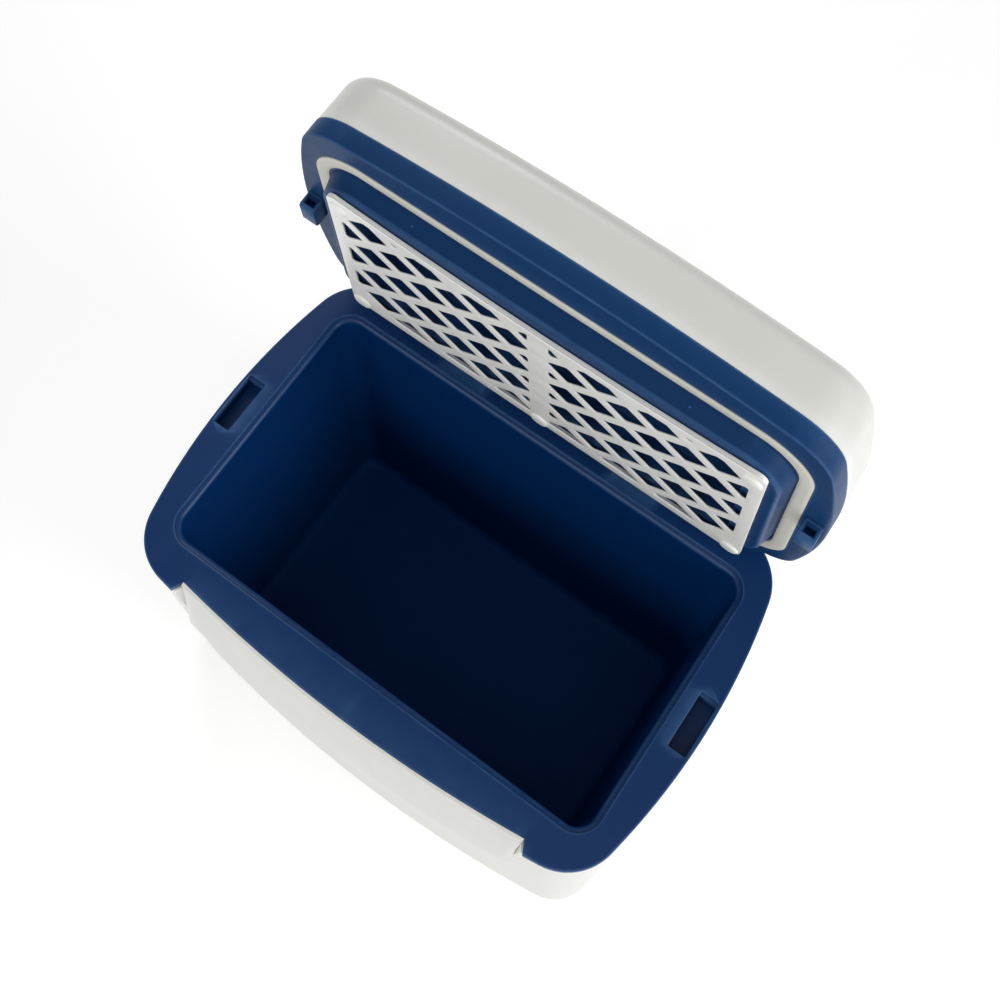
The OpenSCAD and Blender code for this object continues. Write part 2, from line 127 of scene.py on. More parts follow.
def bowed(inset):
    """The chest's bowed outline, moved inwards by inset."""
    mx, my = CORNER_MID
    ex, sy = HALF_X - END_ARC, HALF_Y - SIDE_ARC
    first, last = atan2(my, mx - ex), atan2(my - sy, mx)
    quarter = [(ex + (END_ARC - inset) * cos(first * i / END_STEPS),
                (END_ARC - inset) * sin(first * i / END_STEPS)) for i in range(END_STEPS)]
    for i in range(CORNER_STEPS):
        a = first + (last - first) * i / CORNER_STEPS
        quarter.append((mx + (CORNER_R - inset) * cos(a), my + (CORNER_R - inset) * sin(a)))
    for i in range(SIDE_STEPS + 1):
        a = last + (pi / 2 - last) * i / SIDE_STEPS
        quarter.append(((SIDE_ARC - inset) * cos(a), sy + (SIDE_ARC - inset) * sin(a)))
    return whole_outline(quarter)


def rounded(half_x, half_y, r, mid_y=0.0):
    """A round-cornered rectangle with as many points as the bowed outline."""
    quarter = [(half_x, (half_y - r) * i / END_STEPS) for i in range(END_STEPS)]
    for i in range(CORNER_STEPS):
        a = pi / 2 * i / CORNER_STEPS
        quarter.append((half_x - r + r * cos(a), half_y - r + r * sin(a)))
    quarter += [((half_x - r) * (1 - i / SIDE_STEPS), half_y) for i in range(SIDE_STEPS + 1)]
    return whole_outline(quarter, mid_y)


def ring(outline, z):
    return [Vector((x, y, z)) for x, y in outline]


def arc_steps(count):
    """Pairs that run round a quarter circle, from (0, 1) to (1, 0)."""
    return [(sin(pi / 2 * i / count), cos(pi / 2 * i / count)) for i in range(count + 1)]


# ---- making meshes ----

def new_piece(name, points, faces):
    mesh = bpy.data.meshes.new(name)
    mesh.from_pydata([tuple(Vector(p) * MM) for p in points], [], faces)
    mesh.update()
    piece = bpy.data.objects.new(name, mesh)
    bpy.context.scene.collection.objects.link(piece)
    return piece


def face_outwards(piece):
    bm = bmesh.new()
    bm.from_mesh(piece.data)
    bmesh.ops.remove_doubles(bm, verts=bm.verts, dist=0.002 * MM)
    bmesh.ops.recalc_face_normals(bm, faces=bm.faces)
    bm.to_mesh(piece.data)
    bm.free()


def loft(name, rings, closed=False):
    """A skin through rings of equal count, capped at both ends, or joined last to first when closed."""
    count = len(rings[0])
    points = [p for one in rings for p in one]
    faces = []
    pairs = len(rings) if closed else len(rings) - 1
    for k in range(pairs):
        low, high = k * count, (k + 1) % len(rings) * count
        for i in range(count):
            j = (i + 1) % count
            faces.append((low + i, low + j, high + j, high + i))
    if not closed:
        faces.append(tuple(range(count))[::-1])
        faces.append(tuple(range((len(rings) - 1) * count, len(rings) * count)))
    piece = new_piece(name, points, faces)
    face_outwards(piece)
    return piece


def evaluated_mesh(piece):
    bpy.context.view_layer.update()
    graph = bpy.context.evaluated_depsgraph_get()
    return bpy.data.meshes.new_from_object(piece.evaluated_get(graph))


def settle_modifiers(piece):
    """Turns the piece and its modifiers into a plain mesh."""
    mesh = evaluated_mesh(piece)
    piece.modifiers.clear()
    piece.data = mesh
    return piece


def combine(piece, other, operation="DIFFERENCE"):
    """Cuts other out of piece, or joins it on, and takes other away."""
    cut = piece.modifiers.new("cut", "BOOLEAN")
    cut.operation = operation
    cut.solver = "EXACT"
    cut.object = other
    settle_modifiers(piece)
    bpy.data.objects.remove(other)
    return piece


def join_pieces(piece, others):
    """Several loose meshes as one piece."""
    bm = bmesh.new()
    for one in [piece] + others:
        bm.from_mesh(one.data)
    bm.to_mesh(piece.data)
    bm.free()
    for one in others:
        bpy.data.objects.remove(one)
    return piece


def cut_block(name, low, high, r=1.5, lead=0.0):
    """An upright cutter with round corners that widens by lead at its top."""
    mid = [(a + b) / 2 for a, b in zip(low, high)]
    half = [(b - a) / 2 for a, b in zip(low, high)]
    levels = [(low[2], 0), (high[2] - lead, 0), (high[2], lead), (high[2] + 3, lead)]
    rings = []
    for z, grow in levels:
        one = []
        for sx, sy, start in ((1, 1, 0), (-1, 1, 1), (-1, -1, 2), (1, -1, 3)):
            for i in range(5):
                a = (start + i / 4) * pi / 2
                one.append(Vector((mid[0] + sx * (half[0] - r) + (r + grow) * cos(a),
                                   mid[1] + sy * (half[1] - r) + (r + grow) * sin(a), z)))
        rings.append(one)
    return loft(name, rings)


def rod(name, start, end, r, count=28):
    """A round bar along X."""
    rings = [[Vector((x, start[1] + r * cos(2 * pi * i / count), start[2] + r * sin(2 * pi * i / count)))
              for i in range(count)] for x in (start[0], end[0])]
    return loft(name, rings)


def prism_along_x(name, profile, x0, x1):
    return loft(name, [[Vector((x, y, z)) for y, z in profile] for x in (x0, x1)])


# ---- materials ----

def nodes_of(name):
    finish = bpy.data.materials.new(name)
    finish.use_nodes = True
    tree = finish.node_tree
    return finish, tree, tree.nodes["Principled BSDF"]


def add(tree, kind, **values):
    """A new node with its inputs or settings set by name."""
    node = tree.nodes.new(kind)
    for key, value in values.items():
        if key in node.inputs:
            node.inputs[key].default_value = value
        else:
            setattr(node, key, value)
    return node


def ramp(tree, source, stops):
    node = tree.nodes.new("ShaderNodeValToRGB")
    elements = node.color_ramp.elements
    while len(elements) < len(stops):
        elements.new(0.5)
    for element, (position, colour) in zip(elements, stops):
        element.position = position
        element.color = (*colour, 1) if len(colour) == 3 else colour
    tree.links.new(source, node.inputs["Fac"])
    return node.outputs["Color"]


def moulded_plastic(name, colour, pale_edge_wear_and_highlight, rough, grain=900.0, grain_depth=0.05, coat=0.0, gloss=0.5):
    """Injection-moulded plastic: a fine spark-eroded grain, faint flow clouds, and paler edges that are
    partly rubbed wear and partly painted highlight lines.
    """
    finish, tree, shader = nodes_of(name)
    place = add(tree, "ShaderNodeTexCoord").outputs["Object"]
    clouds = add(tree, "ShaderNodeTexNoise", Scale=9.0, Detail=3.0, Roughness=0.55)
    tree.links.new(place, clouds.inputs["Vector"])
    dark = tuple(c * 0.98 for c in colour)
    pale = tuple(min(1, c * 1.02) for c in colour)
    base = ramp(tree, clouds.outputs["Fac"], [(0.3, dark), (0.7, pale)])
    # sharp edges turn towards the pale edge colour in patches: partly rubbed wear, partly painted highlight
    # along crests, lips and edges
    edge = add(tree, "ShaderNodeNewGeometry").outputs["Pointiness"]
    edge_wear_and_highlight_mask = ramp(tree, edge, [(0.507, (0, 0, 0)), (0.535, (1, 1, 1))])
    scuffs = add(tree, "ShaderNodeTexNoise", Scale=60.0, Detail=4.0, Roughness=0.6)
    tree.links.new(place, scuffs.inputs["Vector"])
    patchy_wear_and_highlight = add(tree, "ShaderNodeMath", operation="MULTIPLY")
    tree.links.new(edge_wear_and_highlight_mask, patchy_wear_and_highlight.inputs[0])
    tree.links.new(scuffs.outputs["Fac"], patchy_wear_and_highlight.inputs[1])
    mix = add(tree, "ShaderNodeMix", data_type="RGBA")
    tree.links.new(patchy_wear_and_highlight.outputs[0], mix.inputs["Factor"])
    tree.links.new(base, mix.inputs[6])
    mix.inputs[7].default_value = (*pale_edge_wear_and_highlight, 1)
    tree.links.new(mix.outputs[2], shader.inputs["Base Color"])
    sheen = ramp(tree, scuffs.outputs["Fac"], [(0.3, (rough - 0.04,) * 3), (0.75, (rough + 0.05,) * 3)])
    tree.links.new(sheen, shader.inputs["Roughness"])
    fine = add(tree, "ShaderNodeTexNoise", Scale=grain, Detail=2.0)
    tree.links.new(place, fine.inputs["Vector"])
    bump = add(tree, "ShaderNodeBump", Strength=grain_depth, Distance=0.0004)
    tree.links.new(fine.outputs["Fac"], bump.inputs["Height"])
    tree.links.new(bump.outputs["Normal"], shader.inputs["Normal"])
    shader.inputs["Coat Weight"].default_value = coat
    shader.inputs["Coat Roughness"].default_value = 0.25
    shader.inputs["IOR"].default_value = 1.46
    shader.inputs["Specular IOR Level"].default_value = gloss
    return finish


def seal_rubber(name, colour):
    """Soft extruded seal: matte, with faint drawn lines and dusty patches."""
    finish, tree, shader = nodes_of(name)
    place = add(tree, "ShaderNodeTexCoord").outputs["Object"]
    dust = add(tree, "ShaderNodeTexNoise", Scale=35.0, Detail=5.0)
    tree.links.new(place, dust.inputs["Vector"])
    base = ramp(tree, dust.outputs["Fac"], [(0.3, tuple(c * 0.94 for c in colour)), (0.7, colour)])
    tree.links.new(base, shader.inputs["Base Color"])
    rough = ramp(tree, dust.outputs["Fac"], [(0.2, (0.55,) * 3), (0.8, (0.72,) * 3)])
    tree.links.new(rough, shader.inputs["Roughness"])
    pores = add(tree, "ShaderNodeTexNoise", Scale=1400.0, Detail=1.0)
    tree.links.new(place, pores.inputs["Vector"])
    bump = add(tree, "ShaderNodeBump", Strength=0.12, Distance=0.0003)
    tree.links.new(pores.outputs["Fac"], bump.inputs["Height"])
    tree.links.new(bump.outputs["Normal"], shader.inputs["Normal"])
    return finish


def cellular_foam(name, colour):
    """Rigid insulation foam with small open cells."""
    finish, tree, shader = nodes_of(name)
    place = add(tree, "ShaderNodeTexCoord").outputs["Object"]
    cells = add(tree, "ShaderNodeTexVoronoi", Scale=420.0)
    tree.links.new(place, cells.inputs["Vector"])
    base = ramp(tree, cells.outputs["Distance"], [(0.1, tuple(c * 0.7 for c in colour)), (0.6, colour)])
    tree.links.new(base, shader.inputs["Base Color"])
    shader.inputs["Roughness"].default_value = 0.9
    bump = add(tree, "ShaderNodeBump", Strength=0.5, Distance=0.0006)
    tree.links.new(cells.outputs["Distance"], bump.inputs["Height"])
    tree.links.new(bump.outputs["Normal"], shader.inputs["Normal"])
    return finish


def turned_steel(name, colour):
    """Plain steel with fine drawn scratches."""
    finish, tree, shader = nodes_of(name)
    place = add(tree, "ShaderNodeTexCoord").outputs["Object"]
    stretch = add(tree, "ShaderNodeMapping")
    stretch.inputs["Scale"].default_value = (40, 900, 900)
    tree.links.new(place, stretch.inputs["Vector"])
    lines = add(tree, "ShaderNodeTexNoise", Scale=1.0, Detail=3.0)
    tree.links.new(stretch.outputs["Vector"], lines.inputs["Vector"])
    base = ramp(tree, lines.outputs["Fac"], [(0.3, tuple(c * 0.85 for c in colour)), (0.7, colour)])
    tree.links.new(base, shader.inputs["Base Color"])
    rough = ramp(tree, lines.outputs["Fac"], [(0.3, (0.28,) * 3), (0.7, (0.42,) * 3)])
    tree.links.new(rough, shader.inputs["Roughness"])
    shader.inputs["Metallic"].default_value = 1.0
    return finish


# the second colour of each finish is its pale edge colour: rubbed wear and painted highlight lines on its
# edges
NAVY = moulded_plastic("navy_moulding", (0.0018, 0.0290, 0.1180), (0.05, 0.13, 0.29), 0.38, gloss=0.3)
# the lid's navy is a paler, less glossy copy of the navy: the paler colour is a painted reflection standing
# in for the gloss
LID_NAVY_PAINTED_REFLECTION = moulded_plastic("navy_lid_moulding", (0.0080, 0.0420, 0.1330), (0.06, 0.15, 0.32), 0.4, gloss=0.07)
# the cavity's navy is a deeper, more matt copy of the rim's navy: painted shade for the inside of the tub
CAVITY_SHADED_NAVY = moulded_plastic("navy_cavity_wall", (0.0012, 0.0280, 0.1230), (0.01, 0.05, 0.16), 0.5, gloss=0.06)
WHITE = moulded_plastic("white_moulding", (0.68, 0.68, 0.645), (0.80, 0.80, 0.77), 0.36, grain_depth=0.03,
                        coat=0.15)
# the grille's white is a lighter copy of the moulding white: painted light that makes the grille brighter
# than the lamps alone do
LIT_LATTICE_WHITE = moulded_plastic("white_lattice", (0.88, 0.88, 0.84), (0.95, 0.95, 0.92), 0.36,
                                grain_depth=0.03, coat=0.15)
SEAL = seal_rubber("pale_seal", (0.66, 0.65, 0.58))
FOAM = cellular_foam("insulation_foam", (0.80, 0.70, 0.48))
STEEL = turned_steel("steel_fixings", (0.62, 0.62, 0.64))


# ---- finishing a piece ----

def finish_piece(piece, body, material, slot, *nodes, lid=False, smooth=32.0):
    """Puts the piece in place on its body with its finish, for the CAD nodes that it stands for."""
    if lid:
        scaled = LID_OPEN.copy()
        scaled.translation = LID_OPEN.translation * MM
        piece.data.transform(scaled)
    face_outwards(piece)
    piece.data.materials.clear()
    piece.data.materials.append(material)
    piece.data.shade_smooth()
    piece.data.set_sharp_from_angle(angle=radians(smooth))
    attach(piece, body)
    if nodes:
        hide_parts(*nodes)
    return piece


# ---- outer shell with its raised front panel ----

PANEL_HALF = 145
PANEL_DROP = 72
PANEL_TOP_IN = 7.2
PANEL_LOW_OUT = 2.1
NOTCH_IN = 9.9
PANEL_GAP = 0.3
PANEL_BACK = 14
END_SLANT = 0.14
END_FLARE = 0.75
RIDGE_R = 5.0
SIDE_MID_Y = SIDE_ARC - HALF_Y

# the two pockets in the rim that take the lid's latch tabs, measured in from the chest's ends
POCKET_IN, POCKET_OUT = 17, 3.0
POCKET_HALF = 21.6
POCKET_DEEP = 16


def front_point(r, u, z, grow=0.0):
    """A point on the arc of radius r about the side's centre, u from -1 to 1 between the panel's ends."""
    end = PANEL_HALF + grow - END_SLANT * max(0.0, SHELL_TOP - z)
    x = end
    for _ in range(4):
        y = SIDE_MID_Y - sqrt(r * r - x * x)
        x = end + max(0.0, (PANEL_BACK - HALF_Y) - y) * END_FLARE
    x = u * x
    return x, SIDE_MID_Y - sqrt(r * r - x * x)


def front_sweep(name, profile, grow=0.0, steps=60):
    """A profile of (radius, height) points swept along the front between the panel's slanted ends."""
    rings = []
    for i in range(steps + 1):
        u = 2 * i / steps - 1
        rings.append([Vector((*front_point(r, u, z, grow), z)) for r, z in profile])
    return loft(name, rings)


def panel_face(z):
    """Radius of the panel's leaning face at height z."""
    t = (RIM_Z - z) / PANEL_DROP
    return SIDE_ARC - PANEL_TOP_IN + (PANEL_TOP_IN + PANEL_LOW_OUT) * t


def make_shell():
    def wall_inset(z):
        return SHELL_INSET + SHELL_DRAFT * (SHELL_TOP - z)

    rings = [ring(bowed(wall_inset(0) + 18), 1.0), ring(bowed(wall_inset(0) + 15), 0.0)]
    for across, up in arc_steps(6):
        rings.append(ring(bowed(wall_inset(BASE_ROUND) + 4.5 * (1 - across)), 5.0 * (1 - up)))
    rings += [ring(bowed(wall_inset(z)), z) for z in (20, 60, 100, 140, 180, 220, 245, SHELL_TOP)]
    rings.append(ring(bowed(wall_inset(SHELL_TOP) + WALL), SHELL_TOP))
    rings += [ring(bowed(wall_inset(z) + WALL), z) for z in (200, 100, BASE_ROUND)]
    rings.append(ring(bowed(wall_inset(BASE_ROUND) + WALL + 4), WALL + 1))
    shell = loft("outer_shell_skin", rings)
    ridge_z = RIM_Z - PANEL_DROP
    slot = [(panel_face(RIM_Z + 4) - 0.6, RIM_Z + 4), (SIDE_ARC + 12, RIM_Z + 4),
            (SIDE_ARC + 12, ridge_z + 1), (panel_face(ridge_z + 1) - 0.6, ridge_z + 1)]
    # the wall is solid behind the slot's ends, so that no gap opens beside the panel
    back = SIDE_ARC - PANEL_BACK
    behind = [(back, RIM_Z - 60), (back, SHELL_TOP - 0.2), (SIDE_ARC - 2.6, SHELL_TOP - 0.2),
              (SIDE_ARC - 4.4, RIM_Z - 60)]
    combine(shell, front_sweep("wall_behind_slot", behind, 6.0), "UNION")
    combine(shell, front_sweep("slot", slot))
    profile = [(SIDE_ARC - NOTCH_IN + PANEL_GAP, RIM_Z)]
    profile += [(panel_face(RIM_Z) - 0.8 + 0.8 * a, RIM_Z - 0.8 + 0.8 * b) for a, b in arc_steps(3)]
    profile += [(panel_face(z), z) for z in (RIM_Z - 20, RIM_Z - 40)]
    out = SIDE_ARC + PANEL_LOW_OUT
    profile += [(out - RIDGE_R * (1 - b) - 0.4 * (1 - a), ridge_z + RIDGE_R * (1 - a))
                for a, b in arc_steps(6)]
    profile += [(SIDE_ARC - 12, ridge_z - 4), (back, ridge_z + 20), (back, SHELL_TOP - 1),
                (SIDE_ARC - NOTCH_IN + PANEL_GAP, SHELL_TOP - 1)]
    combine(shell, front_sweep("front_panel", profile), "UNION")
    half, drop = POCKET_HALF + 0.8, POCKET_DEEP + 1.9
    for side in (-1, 1):
        xs = sorted((side * (HALF_X - POCKET_IN - 2), side * (HALF_X - POCKET_OUT + 0.32)))
        combine(shell, cut_block("pocket_space", (xs[0], -half, RIM_Z - drop), (xs[1], half, RIM_Z), 1.2))
    finish_piece(shell, "chest", WHITE, "white_plastic", "outer_shell", smooth=24)


# ---- rim and cavity, one navy moulding ----

LEDGE_W = 4.6
LIP_R = LEDGE_W - 0.6
LIP_TOP = RIM_Z - 1.35
RIM_ROOT = 4.5


def opening(inset, z, r=None):
    """The cavity's opening moved inwards by inset, with corners that follow unless r is given."""
    return ring(rounded(STEP_X - inset, STEP_Y - inset, STEP_R - inset if r is None else r), z)


def extrude_to(bm, outline, target, z):
    """Extrudes the open edge, which lies on outline, and sets it on target at height z."""
    made = bmesh.ops.extrude_edge_only(bm, edges=[e for e in bm.edges if e.is_boundary])
    for v in (v for v in made["geom"] if isinstance(v, bmesh.types.BMVert)):
        here = v.co.xy / MM
        nearest = min(range(len(outline)), key=lambda k: (Vector(outline[k]) - here).length_squared)
        v.co = Vector((*target[nearest], z)) * MM


def make_liner():
    edge = 0.9
    floor_r = 7.0
    rings = [ring(bowed(RIM_ROOT), SHELL_TOP), ring(bowed(0.0), SHELL_TOP)]
    rings += [ring(bowed(edge * (1 - b)), RIM_Z - edge * (1 - a)) for a, b in arc_steps(3)]
    rings += [ring(bowed(edge + 1.0), RIM_Z), ring(bowed(NOTCH_IN + 1.6), RIM_Z)]
    # the crisp step, then the lip that turns over into the cavity
    for inset, drop in ((-1.6, 0), (-0.45, 0), (-0.1, 0.15), (0.1, 1.0), (0.6, 1.3)):
        rings.append(opening(inset, RIM_Z - drop))
    for across, up in arc_steps(6):
        rings.append(opening(LEDGE_W - LIP_R * (1 - across), LIP_TOP - LIP_R * (1 - up)))
    mouth_z = LIP_TOP - LIP_R
    tall = mouth_z - FLOOR_Z
    cavity_r = STEP_R - LEDGE_W
    rings += [opening(LEDGE_W + CAVITY_LEAN * part, mouth_z - tall * part, cavity_r)
              for part in (0.12, 0.3, 0.55, 0.8)]
    foot = LEDGE_W + CAVITY_LEAN * (1 - floor_r / tall)
    rings += [opening(foot + floor_r * (1 - b), FLOOR_Z + floor_r * (1 - a), cavity_r)
              for a, b in arc_steps(5)]
    liner = loft("liner_skin", rings)
    # the flat cap under the rim gives way to the hollow's outer skin, which ends below the floor
    bm = bmesh.new()
    bm.from_mesh(liner.data)
    caps = [f for f in bm.faces if f.normal.z < -0.9 and f.calc_center_median().z > SHELL_TOP * MM - 0.001]
    bmesh.ops.delete(bm, geom=[max(caps, key=lambda f: f.calc_area())], context="FACES_ONLY")
    mouth = rounded(STEP_X + WALL - 2, STEP_Y + WALL - 2, STEP_R)
    low_in = LEDGE_W + CAVITY_LEAN - WALL
    low = rounded(STEP_X - low_in, STEP_Y - low_in, STEP_R - 2)
    extrude_to(bm, bowed(RIM_ROOT), mouth, SHELL_TOP)
    extrude_to(bm, mouth, low, FLOOR_Z - WALL)
    bmesh.ops.contextual_create(bm, geom=[e for e in bm.edges if e.is_boundary])
    bm.to_mesh(liner.data)
    bm.free()
    face_outwards(liner)
    notch = [(SIDE_ARC - NOTCH_IN, RIM_Z + 3), (SIDE_ARC + 6, RIM_Z + 3), (SIDE_ARC + 6, SHELL_TOP - 2),
             (SIDE_ARC - NOTCH_IN, SHELL_TOP - 2)]
    cuts = [front_sweep("notch", notch, PANEL_GAP)]
    for side in (-1, 1):
        xs = sorted((side * (HALF_X - POCKET_IN), side * (HALF_X - POCKET_OUT)))
        cuts.append(cut_block("tab_pocket", (xs[0], -POCKET_HALF, RIM_Z - POCKET_DEEP),
                              (xs[1], POCKET_HALF, RIM_Z + 0.02), 1.0, 0.45))
        x = side * LUG_X
        cuts.append(cut_block("lug_seat", (x - 20.2, HINGE.y - 11.2, RIM_Z - 3),
                              (x + 20.2, HINGE.y + 5.2, RIM_Z + 1), 0.4))
    combine(liner, join_pieces(cuts[0], cuts[1:]))
    finish_piece(liner, "chest", NAVY, "navy_plastic", "inner_liner", smooth=28)
    # the cavity below the rounded lip takes the deeper, more matt copy of the navy: painted shade inside the
    # tub
    liner.data.materials.append(CAVITY_SHADED_NAVY)
    for face in liner.data.polygons:
        x, y, z = face.center / MM
        if z < mouth_z + 1 and abs(x) < STEP_X and abs(y) < STEP_Y:
            face.material_index = 1


def make_pocket_boxes():
    """Walls and floor of the two pockets under the rim, with the catch bar across each."""
    boxes = []
    half, drop = POCKET_HALF + 0.7, POCKET_DEEP + 1.6
    for side in (-1, 1):
        xs = sorted((side * (HALF_X - POCKET_IN - 1.4), side * (HALF_X - POCKET_OUT + 0.3)))
        box = cut_block("box", (xs[0], -half, RIM_Z - drop), (xs[1], half, SHELL_TOP - 3.1), 1.2)
        xs = sorted((side * (HALF_X - POCKET_IN), side * (HALF_X - POCKET_OUT - 0.1)))
        combine(box, cut_block("hollow", (xs[0], -POCKET_HALF, RIM_Z - POCKET_DEEP),
                               (xs[1], POCKET_HALF, RIM_Z + 4), 1.0))
        bar = cut_block("catch", (xs[0] - 0.3, 19.2, RIM_Z - 10), (xs[1] + 0.3, 22, RIM_Z - 7), 0.5)
        boxes += [box, bar]
    piece = join_pieces(boxes[0], boxes[1:])
    piece.name = "tab_pockets"
    finish_piece(piece, "chest", NAVY, "navy_plastic", smooth=30)


# ---- lid ----

COVER_INSET = 0.4
COVER_LEAN = 0.02
CHANNEL_HALF = 7.5
CHANNEL_REAR = HANDLE_REACH + 9.5


def lug_room():
    """Cutters for the room that the lid leaves round each hinge lug."""
    return [cut_block("lug_room", (x - 8.8, HINGE.y - 8.8, -1), (x + 8.8, HINGE.y + 60, 21), 0.6)
            for x in (-LUG_X, LUG_X)]


def channel(name, low, high, deep, r):
    """A cutter from above for the lid's top, with low and high as its corners in plan."""
    return cut_block(name, (*low, LID_TOP - deep), (*high, LID_TOP + 0.02), r, 1.0)


def make_lid_cover():
    crown = 14.0
    rings = [ring(bowed(8), BAND_TOP), ring(bowed(0.75), BAND_TOP)]
    rings.append(ring(bowed(COVER_INSET), BAND_TOP + 0.35))
    rings += [ring(bowed(COVER_INSET + COVER_LEAN * (z - BAND_TOP)), z) for z in (24, 34, LID_TOP - crown)]
    side = COVER_INSET + COVER_LEAN * (LID_TOP - crown - BAND_TOP)
    rings += [ring(bowed(side + crown * (1 - b)), LID_TOP - crown * (1 - a)) for a, b in arc_steps(10)[1:]]
    rings.append(ring(bowed(side + crown + 8), LID_TOP))
    cover = loft("lid_cover", rings)
    for x in (-ARM_X, ARM_X):
        left, right = x - CHANNEL_HALF, x + CHANNEL_HALF
        combine(cover, channel("arm_channel", (left, -9), (right, CHANNEL_REAR), 16, 4.0))
    combine(cover, channel("grip_channel", (-ARM_X - CHANNEL_HALF, HANDLE_REACH - 9.5),
                           (ARM_X + CHANNEL_HALF, CHANNEL_REAR), 16, 4.0))
    combine(cover, channel("finger_pocket", (-52, 58), (52, 98), 24, 8.0))
    combine(cover, loft("pocket_room", [ring(pocket_outline(WALL + 0.2), z)
                                        for z in (BAND_TOP - 2, POCKET_ROOF + 0.3)]))
    for room in lug_room():
        combine(cover, room)
    finish_piece(cover, "lid", WHITE, "white_plastic", "lid_shell", lid=True, smooth=30)


SEAL_X = HALF_X - 19.3
SEAL_Y = HALF_Y - 27.7
SEAL_W = 10.5
SEAL_MID = 4.9
SEAL_R = 41.9
PLUG_X = STEP_X - 4
PLUG_FRONT = STEP_Y - 5
PLUG_REAR = STEP_Y - 4.5
PLUG_R = 34
PLUG_DRAFT = 2.6
POCKET_ROOF = 21.6
SEAL_GAP = 0.15


def plug_outline(inset):
    """The raised plug's outline at its root, moved inwards by inset."""
    half_y = (PLUG_FRONT + PLUG_REAR) / 2
    return rounded(PLUG_X - inset, half_y - inset, PLUG_R - inset * 0.5, (PLUG_REAR - PLUG_FRONT) / 2)


def seal_ring(grow, z):
    return ring(rounded(SEAL_X + grow, SEAL_Y + grow, SEAL_R + grow, SEAL_MID), z)


def pocket_outline(grow):
    """The ice-pack pocket's outline in the plug, moved outwards by grow."""
    return rounded(149 + grow, 75 + grow, 8 + max(grow, -3), 3)


def make_lid_tray():
    rings = [ring(pocket_outline(WALL), POCKET_ROOF), ring(bowed(45), BAND_TOP), ring(bowed(0.5), BAND_TOP)]
    edge = 1.1
    skirt = 0.05
    rings += [ring(bowed(skirt), z) for z in (BAND_TOP - 0.45, BAND_TOP - 1.4, FLANGE + edge + 1.0)]
    rings += [ring(bowed(skirt + edge * (1 - b)), FLANGE + edge * (1 - a)) for a, b in arc_steps(4)]
    rings.append(ring(bowed(edge + 1.0), FLANGE))
    rings.append(seal_ring(1.4, FLANGE))
    # the groove for the seal
    lip = SEAL_GAP + 0.2
    side = ((lip, FLANGE), (SEAL_GAP, FLANGE + 0.2), (SEAL_GAP, FLANGE + 1.8))
    rings += [seal_ring(grow, z) for grow, z in side]
    rings += [seal_ring(-SEAL_W - grow, z) for grow, z in side[::-1]]
    root, crest = 1.6, 3.4
    rings += [ring(plug_outline(-0.4 * root * (1 - a)), FLANGE - root * (1 - b)) for a, b in arc_steps(3)]
    wall = FLANGE - root - (PLUG_FACE + crest)
    rings += [ring(plug_outline(PLUG_DRAFT * part), FLANGE - root - wall * part) for part in (0.35, 0.7, 1.0)]
    rings += [ring(plug_outline(PLUG_DRAFT + crest * (1 - b)), PLUG_FACE + crest * (1 - a))
              for a, b in arc_steps(6)[1:]]
    rings.append(ring(plug_outline(PLUG_DRAFT + crest + 1.0), PLUG_FACE))
    pocket = ((1.8, PLUG_FACE), (0.8, PLUG_FACE), (0.0, PLUG_FACE + 0.8), (-1.0, 16.0), (-4.0, 19.0))
    rings += [ring(pocket_outline(grow), z) for grow, z in pocket]
    tray = loft("lid_tray", rings)
    for room in lug_room():
        combine(tray, room)
    reach = HINGE.z - RIM_Z
    turn_r = reach - 0.6
    # the rear of the tray is round about the hinge, so that it clears the rim as the lid turns
    profile = [(HINGE.y + turn_r * a, reach - turn_r * b) for a, b in arc_steps(10)]
    profile += [(HINGE.y + 60, reach), (HINGE.y + 60, -6), (HINGE.y, -6)]
    combine(tray, prism_along_x("rear_round", profile, -HALF_X - 1, HALF_X + 1))
    finish_piece(tray, "lid", LID_NAVY_PAINTED_REFLECTION, "navy_plastic", "lid_liner", lid=True, smooth=28)


def make_seal():
    half = [(0.1, FLANGE + 1.6), (0.1, 0.7), (1.0, 0.2), (3.2, 0.15)]
    profile = half + [(SEAL_W - inset, z) for inset, z in half[::-1]]
    seal = loft("lid_seal", [seal_ring(-inset, z) for inset, z in profile], closed=True)
    finish_piece(seal, "lid", SEAL, "pale_gasket", "lid_gasket", lid=True, smooth=60)


def make_latch_tab(side, node):
    """A hollow block under the flange, chamfered at both ends and slotted at its front."""
    x0 = HALF_X - 16
    low, high = -11.0, 13.5
    profile = [(low, FLANGE), (low, -8.8), (low + 0.7, -9.9), (low + 2.2, -11), (high - 2.2, -11),
               (high - 0.7, -9.9), (high, -8.8), (high, FLANGE)]
    block = prism_along_x("tab", profile, x0, x0 + 12.6)
    bevel = block.modifiers.new("soft_edges", "BEVEL")
    bevel.width = 0.55 * MM
    bevel.segments = 2
    bevel.limit_method = "ANGLE"
    bevel.angle_limit = radians(50)
    settle_modifiers(block)
    mouth = [(low - 2, -8.0), (low + 9, -7.6), (low + 9, -3.2), (low - 2, -2.8)]
    combine(block, prism_along_x("slot", mouth, x0 + 2.6, x0 + 10))
    root = prism_along_x("root", [(-6, FLANGE - 0.2), (8, FLANGE - 0.2), (8, 4), (-6, 4)], x0 + 2, x0 + 10.6)
    join_pieces(block, [root])
    if side < 0:
        block.data.transform(Matrix.Scale(-1, 4, (1, 0, 0)))
    block.name = "latch_tab_" + ("left" if side < 0 else "right") + "_skin"
    finish_piece(block, "lid", LID_NAVY_PAINTED_REFLECTION, "navy_plastic", node, lid=True, smooth=40)


# ---- ice-pack grille: a moulded lattice made by Geometry Nodes from its hole outlines ----

